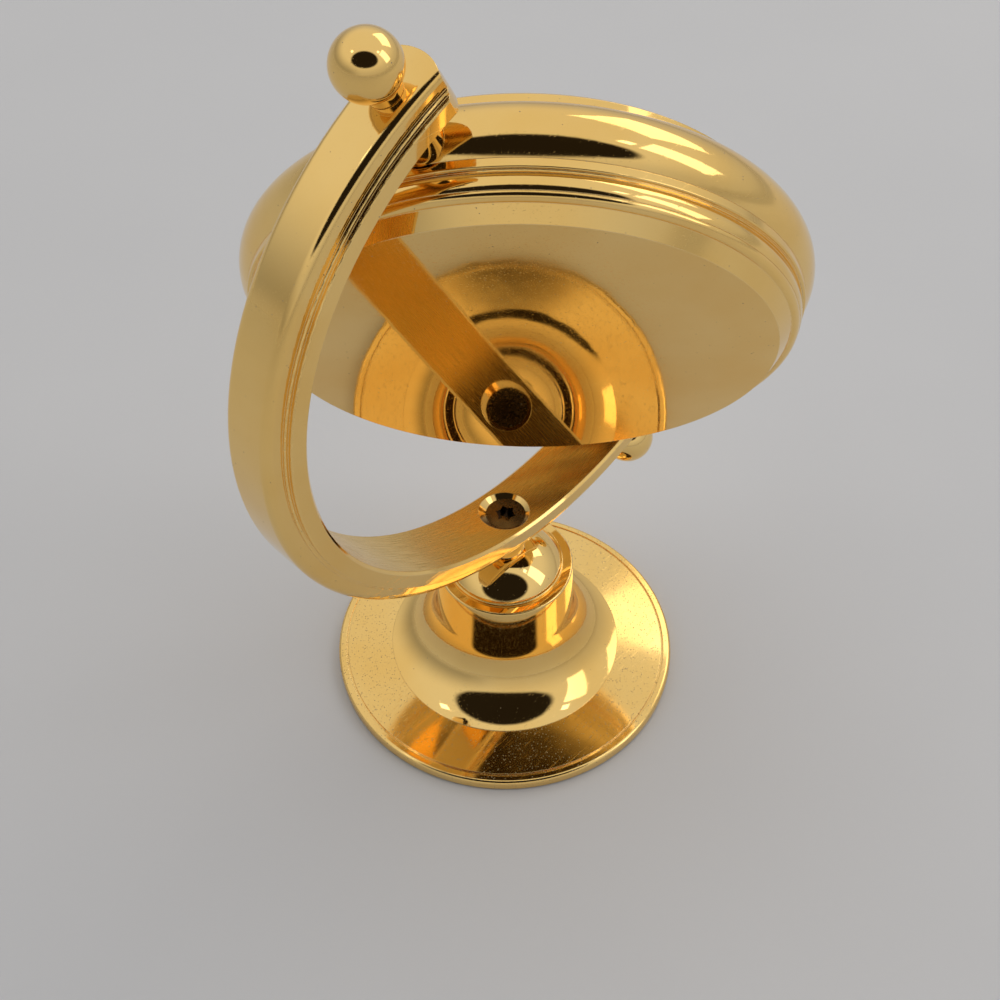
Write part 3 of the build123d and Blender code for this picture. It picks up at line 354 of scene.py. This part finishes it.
# Materials of the CAD nodes
steel = ((0.66, 0.66, 0.67), (0.50, 0.50, 0.51))
brass = ((0.87, 0.67, 0.31), (0.74, 0.52, 0.20))
wire_pitch = 0.16 * mm
polished = plated_gold("polished_gold")
looks = {
    "foot": plated_gold("foot_gold", mirror=0.05, haze=0.10, specks=0.5),
    "meridian_arm": plated_gold("arm_gold", satin_face=True),
    "back_cover": plated_gold("back_gold", mirror=0.02, haze=0.05),
    "arm_screw": mottled(
        "black_steel", (0.21, 0.155, 0.11), (0.09, 0.066, 0.048),
        rough=(0.18, 0.36), grain=3000.0, depth=0.006, cloud=400.0, metallic=1.0,
    ),
    "base_washer": mottled(
        "zinc_steel", *steel, rough=(0.28, 0.45), grain=3500.0, cloud=300.0, metallic=1.0,
    ),
    "crystal": glass("crystal_glass"),
    "crystal_gasket": mottled(
        "gasket_rubber", (0.025, 0.025, 0.027), (0.015, 0.015, 0.016), rough=(0.55, 0.75),
    ),
    "dial_ring": brushed("dial_ring_gold", gold_tone[:3], gold_deep[:3], front),
    "dial": mottled(
        "dial_paint", (0.83, 0.79, 0.67), (0.79, 0.74, 0.61),
        rough=(0.32, 0.5), grain=4000.0, depth=0.002, cloud=60.0,
    ),
    "hour_hand": mottled(
        "hand_black", (0.012, 0.012, 0.013), (0.02, 0.019, 0.018),
        rough=(0.14, 0.3), grain=5000.0, depth=0.002,
    ),
    "movement_holder": mottled(
        "holder_plastic", (0.70, 0.69, 0.65), (0.64, 0.62, 0.57),
        rough=(0.4, 0.6), grain=2200.0, depth=0.008,
    ),
    "movement_plate": mottled(
        "movement_plastic", (0.045, 0.05, 0.055), (0.03, 0.033, 0.036), rough=(0.35, 0.55),
    ),
    "movement_screws": brushed("small_steel", *steel, front, lines=14000.0),
    "battery": brushed("cell_steel", (0.72, 0.72, 0.71), (0.60, 0.60, 0.60), front, lines=16000.0),
    "circuit_board": mottled(
        "board_green", (0.02, 0.13, 0.06), (0.01, 0.07, 0.035),
        rough=(0.25, 0.4), grain=1800.0, depth=0.01,
    ),
    "quartz_can": brushed("can_nickel", (0.74, 0.72, 0.68), (0.62, 0.60, 0.56), twelve, lines=12000.0),
    "stator": mottled("core_iron", (0.42, 0.41, 0.40), (0.30, 0.29, 0.28), rough=(0.3, 0.5), metallic=1.0),
    "coil": wound_wire("copper_wire", three, wire_pitch),
    "rotor": mottled(
        "rotor_magnet", (0.06, 0.06, 0.065), (0.035, 0.035, 0.037), rough=(0.4, 0.6), metallic=0.6,
    ),
    "third_wheel": mottled(
        "white_gear", (0.82, 0.81, 0.77), (0.76, 0.74, 0.69), rough=(0.3, 0.45), grain=2600.0,
    ),
    "second_wheel": brushed("brass_gear", *brass, front, lines=11000.0),
    "setting_arbor": brushed("setting_brass", *brass, front),
    "setting_knob": mottled(
        "knob_plastic", (0.72, 0.71, 0.67), (0.66, 0.64, 0.6),
        rough=(0.35, 0.5), grain=2400.0, depth=0.006,
    ),
}
same_look = {
    "base_bolt": "base_washer",
    "minute_hand": "hour_hand",
    "second_hand": "hour_hand",
    "movement_cover": "movement_plate",
    "battery_clip": "movement_screws",
    "battery_contact": "movement_screws",
    "coil_core": "stator",
    "intermediate_wheel": "third_wheel",
    "minute_wheel": "third_wheel",
    "centre_wheel": "second_wheel",
    "hour_wheel": "second_wheel",
}
for node, shape in frame["nodes"].items():
    shape.data.materials.clear()
    shape.data.materials.append(looks.get(same_look.get(node, node), polished))


def add_object(name, shape, material):
    """New object in the scene from a bmesh, with its faces turned outwards."""
    bmesh.ops.recalc_face_normals(shape, faces=shape.faces)
    mesh = bpy.data.meshes.new(name)
    shape.to_mesh(mesh)
    shape.free()
    mesh.materials.append(material)
    thing = bpy.data.objects.new(name, mesh)
    scene.collection.objects.link(thing)
    return thing


def add_piece(name, shape, material, body):
    """New piece of the clock from a bmesh, riding on a body."""
    piece = add_object(name, shape, material)
    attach(piece, body)
    return piece


def smooth(piece):
    """Shade all faces of a piece as one round surface."""
    for face in piece.data.polygons:
        face.use_smooth = True


def turned_row(shape, radius, height, steps):
    """Row of vertices on a circle round the upright axis."""
    turns = [tau * step / steps for step in range(steps)]
    return [shape.verts.new((radius * cos(turn), radius * sin(turn), height)) for turn in turns]


def join_rows(shape, near, far):
    """Band of faces between two closed rows of vertices."""
    for step in range(len(near)):
        after = (step + 1) % len(near)
        shape.faces.new((near[step], near[after], far[after], far[step]))


# Print on the dial: a minute track and hour figures in raised ink
ink_height = 0.03 * mm
track_inset = 0.5 * mm
track_width = 1.1 * mm
track_line = 0.11 * mm
track_steps = 240
minute_line = 0.16 * mm
hour_line = 0.55 * mm
figure_gap = 0.7 * mm
figure_height = 4.4 * mm
minutes = 60
hours = 12
track_outer = dial_radius - track_inset
track_inner = track_outer - track_width
figure_radius = track_inner - figure_gap - figure_height / 2
ink_print = mottled(
    "dial_ink", (0.012, 0.012, 0.013), (0.022, 0.02, 0.018), rough=(0.35, 0.5), grain=6000.0, depth=0.002,
)


def dial_place(angle, out, side, level):
    """Place on the dial at a clockwise angle from twelve: out along the radius, and to its side."""
    radial = sin(angle) * three + cos(angle) * twelve
    beside = cos(angle) * three - sin(angle) * twelve
    return arm_centre + radial * out + beside * side + front * level


def ink_block(shape, angle, corners):
    """Closed block of ink over a four-cornered outline of (out, side) places."""
    low = [shape.verts.new(dial_place(angle, *corner, dial_face)) for corner in corners]
    high = [shape.verts.new(dial_place(angle, *corner, dial_face + ink_height)) for corner in corners]
    shape.faces.new(high)
    shape.faces.new(reversed(low))
    join_rows(shape, low, high)


def ink_ring(shape, inner, outer):
    """Closed ring of ink."""
    section = ((inner, 0.0), (inner, ink_height), (outer, ink_height), (outer, 0.0))
    turns = [tau * step / track_steps for step in range(track_steps)]
    rows = [
        [shape.verts.new(dial_place(turn, radius, 0.0, dial_face + level)) for turn in turns]
        for radius, level in section
    ]
    for near, far in zip(rows, rows[1:] + rows[:1]):
        join_rows(shape, near, far)


track = bmesh.new()
ink_ring(track, track_inner, track_inner + track_line)
ink_ring(track, track_outer - track_line, track_outer)
for minute in range(minutes):
    half = (hour_line if minute % (minutes // hours) == 0 else minute_line) / 2
    ends = ((track_inner, -half), (track_inner, half), (track_outer, half), (track_outer, -half))
    ink_block(track, tau * minute / minutes, ends)
add_piece("minute_track", track, ink_print, "clock_head")

# Figures of thick and thin strokes, as shares of their height
thick_share = 0.17
thin_share = 0.055
serif_share = 0.05
letter_gap_share = 0.05
letter_width_shares = {"I": 0.30, "V": 0.62, "X": 0.66}
figures = ("XII", "I", "II", "III", "IIII", "V", "VI", "VII", "VIII", "IX", "X", "XI")


def stroke(low, high, width):
    """Outline of a slanted stroke from its foot to its top, as (up, side) shares."""
    half = width / 2
    return ((0.0, low - half), (0.0, low + half), (1.0, high + half), (1.0, high - half))


def bar(middle, width, at_top):
    """Outline of a thin bar across a stroke's end."""
    half = width / 2
    low, high = (1.0 - serif_share, 1.0) if at_top else (0.0, serif_share)
    return ((low, middle - half), (low, middle + half), (high, middle + half), (high, middle - half))


def letter_outlines(letter):
    """Outlines of one letter, centred on its width."""
    width = letter_width_shares[letter]
    reach = (width - thick_share) / 2
    bar_width = 2 * thick_share
    if letter == "I":
        return [stroke(0.0, 0.0, thick_share), bar(0.0, width, False), bar(0.0, width, True)]
    if letter == "V":
        sides = [stroke(0.0, -reach, thick_share), stroke(0.0, reach, thin_share)]
        return sides + [bar(-reach, bar_width, True), bar(reach, bar_width, True)]
    sides = [stroke(reach, -reach, thick_share), stroke(-reach, reach, thin_share)]
    return sides + [bar(way * reach, bar_width, at_top) for way in (-1, 1) for at_top in (False, True)]


numerals = bmesh.new()
for hour, letters in enumerate(figures):
    widths = [letter_width_shares[letter] for letter in letters]
    side = -(sum(widths) + letter_gap_share * (len(letters) - 1)) / 2
    for letter, width in zip(letters, widths):
        middle = side + width / 2
        for outline in letter_outlines(letter):
            corners = [
                (figure_radius + (rise - 0.5) * figure_height, (middle + shift) * figure_height)
                for rise, shift in outline
            ]
            ink_block(numerals, tau * hour / hours, corners)
        side += width + letter_gap_share
add_piece("dial_figures", numerals, ink_print, "clock_head")

# Felt under the foot, with a soft uneven edge
pad_low, pad_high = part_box("base_pad")
felt_radius = (pad_high.x - pad_low.x) / 2
felt_round = 0.12 * mm
felt_fuzz = 0.05 * mm
fuzz_scale = 900.0
felt_steps = 180
felt_rings = 14
pad = bmesh.new()
inner_radius = felt_radius - felt_round
profile = [(ring / felt_rings * inner_radius, pad_low.z) for ring in range(1, felt_rings + 1)]
profile += [(felt_radius, pad_low.z + felt_round), (felt_radius, pad_high.z)]
rows = []
for radius, height in profile:
    row = turned_row(pad, radius, height, felt_steps)
    at_edge = radius > felt_radius - 2 * felt_round
    for vertex in row:
        fuzz = felt_fuzz * (0.5 + 0.5 * noise.noise(vertex.co * fuzz_scale))
        if at_edge:
            vertex.co.xy *= 1.0 - fuzz / radius
        if height == pad_low.z:
            vertex.co.z += fuzz
    rows.append(row)
for near, far in zip(rows, rows[1:]):
    join_rows(pad, near, far)
for row, height in ((rows[0], pad_low.z), (rows[-1], pad_high.z)):
    middle = pad.verts.new((0, 0, height))
    for first, second in zip(row, row[1:] + row[:1]):
        pad.faces.new((middle, first, second))
felt_pad = add_piece("felt_pad", pad, felt("green_felt"), "stand")
smooth(felt_pad)
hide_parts("base_pad")

# Collar: a dome on a narrow band, with a flat seat and a bore, in the place of the plain drum
collar_low, collar_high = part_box("collar")
collar_radius = (collar_high.x - collar_low.x) / 2
collar_bore = min(vertex.co.xy.length for vertex in frame["nodes"]["collar"].data.vertices)
band_height = 0.5 * mm
band_round = 0.2 * mm
band_steps = 6
dome_inset = 0.25 * mm
dome_start = radians(38.0)
dome_steps = 40
seat_radius = 2.7 * mm
collar_steps = 192
crease_angle = radians(25.0)
dome_radius = (collar_radius - band_round - dome_inset) / cos(dome_start)
dome_end = acos(seat_radius / dome_radius)
dome_centre = collar_low.z + band_height - dome_radius * sin(dome_start)


def arc(radius, height, size, start, end, steps):
    """Points of an arc as (radius, height), round its centre."""
    angles = [start + (end - start) * step / steps for step in range(steps + 1)]
    return [(radius + size * cos(angle), height + size * sin(angle)) for angle in angles]


round_radius = collar_radius - band_round
section = [(collar_bore, collar_low.z)]
section += arc(round_radius, collar_low.z + band_round, band_round, -pi / 2, 0.0, band_steps)
section += arc(round_radius, collar_low.z + band_height - band_round, band_round, 0.0, pi / 2, band_steps)
section += arc(0.0, dome_centre, dome_radius, dome_start, dome_end, dome_steps)
section += [(seat_radius, collar_high.z), (collar_bore, collar_high.z)]
dome = bmesh.new()
rows = [turned_row(dome, radius, height, collar_steps) for radius, height in section]
for near, far in zip(rows, rows[1:] + rows[:1]):
    join_rows(dome, near, far)
domed_collar = add_piece("domed_collar", dome, polished, "stand")
smooth(domed_collar)
domed_collar.data.set_sharp_from_angle(angle=crease_angle)
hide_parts("collar")

# Camera at the photograph's place, looking down at the back of the clock
camera_place = Vector((-0.100319, -0.098532, 0.194442))
yaw, pitch, roll = radians(45.2), radians(-48.817), radians(0.136)
focal_pixels = 1572.9
image_width = 1000
sensor_width = 36.0
nearest_seen = 5 * mm
ahead = Vector((sin(yaw) * cos(pitch), cos(yaw) * cos(pitch), sin(pitch)))
level_right = Vector((cos(yaw), -sin(yaw), 0))
level_up = level_right.cross(ahead)
right = cos(roll) * level_right + sin(roll) * level_up
upward = cos(roll) * level_up - sin(roll) * level_right
lens = bpy.data.cameras.new("camera")
lens.sensor_width = sensor_width
lens.lens = focal_pixels * sensor_width / image_width
lens.clip_start = nearest_seen
camera = bpy.data.objects.new("camera", lens)
scene.collection.objects.link(camera)
turned = Matrix((right, upward, -ahead)).transposed().to_4x4()
turned.translation = camera_place
camera.matrix_world = turned
scene.camera = camera
scene.view_settings.view_transform = "Standard"

# Floor: pale paper to the horizon
floor_radius = 12.0
floor_steps = 96
paper = mottled(
    "pale_paper", (0.71, 0.72, 0.755), (0.695, 0.705, 0.74),
    rough=(0.75, 0.9), grain=900.0, depth=0.01, cloud=12.0,
)
ground = bmesh.new()
ground.faces.new(turned_row(ground, floor_radius, 0.0, floor_steps))
floor = add_object("floor", ground, paper)

# Room: tones of the far floor, the walls, the overhead light and a dim patch round the camera
floor_end_tone = (0.43, 0.425, 0.425, 1)
horizon_tone = (0.53, 0.53, 0.54, 1)
shade_tone = (0.32, 0.32, 0.32, 1)
overhead_tone = (0.76, 0.745, 0.715, 1)
dim_tone = (0.016, 0.013, 0.011, 1)
floor_end_levels = (0.0, 0.12)
overhead_levels = (0.05, 0.6)
shade_levels = (0.1, 0.8)
dim_half_width, dim_half_height = 0.80, 0.45
dim_edge_levels = (1.1, 0.9)
least_facing = 0.01
dim_centre = (camera_place - arm_centre / 2).normalized()
dim_side = up.cross(dim_centre).normalized()
dim_up = dim_centre.cross(dim_side)

room = bpy.data.worlds.new("room")
scene.world = room
sky = Tree(room)
towards = sky.vector("NORMALIZE", sky.add("ShaderNodeTexCoord", {}).outputs["Generated"])
across = sky.along(towards, dim_side / dim_half_width)
above = sky.along(towards, dim_up / dim_half_height)
facing = sky.math("MAXIMUM", sky.along(towards, dim_centre), least_facing)
offset = sky.vector("LENGTH", sky.join(across, above), output="Value")
inside = sky.ramp(sky.math("DIVIDE", offset, facing), *dim_edge_levels)
rise = sky.split(towards)[2]
wall = sky.mix(sky.ramp(sky.along(towards, -dim_side), *shade_levels), horizon_tone, shade_tone)
wall = sky.mix(sky.ramp(rise, *floor_end_levels), floor_end_tone, wall)
light = sky.mix(sky.ramp(rise, *overhead_levels), wall, overhead_tone)
sky.put(sky.nodes["Background"], "Color", sky.mix(inside, light, dim_tone))


def soft_light(name, place, width, height, radiance, tone):
    """Rectangular lamp that faces the clock, set by how bright its face is."""
    lamp = bpy.data.lights.new(name, "AREA")
    lamp.shape = "RECTANGLE"
    lamp.size, lamp.size_y = width, height
    lamp.energy = radiance * pi * width * height
    lamp.color = tone
    holder = bpy.data.objects.new(name, lamp)
    scene.collection.objects.link(holder)
    holder.location = place
    holder.rotation_euler = (arm_centre - Vector(place)).to_track_quat("-Z", "Y").to_euler()


# Lamps: a large warm window, a smaller one to the side and two small lamps overhead
warm_light = (1.0, 0.92, 0.80)
white_light = (1.0, 0.98, 0.95)
small_lamp = {"width": 0.09, "height": 0.09, "radiance": 1.8, "tone": white_light}
soft_light("window", (0.88, 0.05, 0.75), width=0.7, height=0.5, radiance=1.3, tone=warm_light)
soft_light("side", (0.45, -0.65, 0.60), width=0.3, height=0.5, radiance=1.2, tone=white_light)
soft_light("lamp_left", (-0.50, 0.25, 0.85), **small_lamp)
soft_light("lamp_right", (0.25, -0.50, 0.85), **small_lamp)
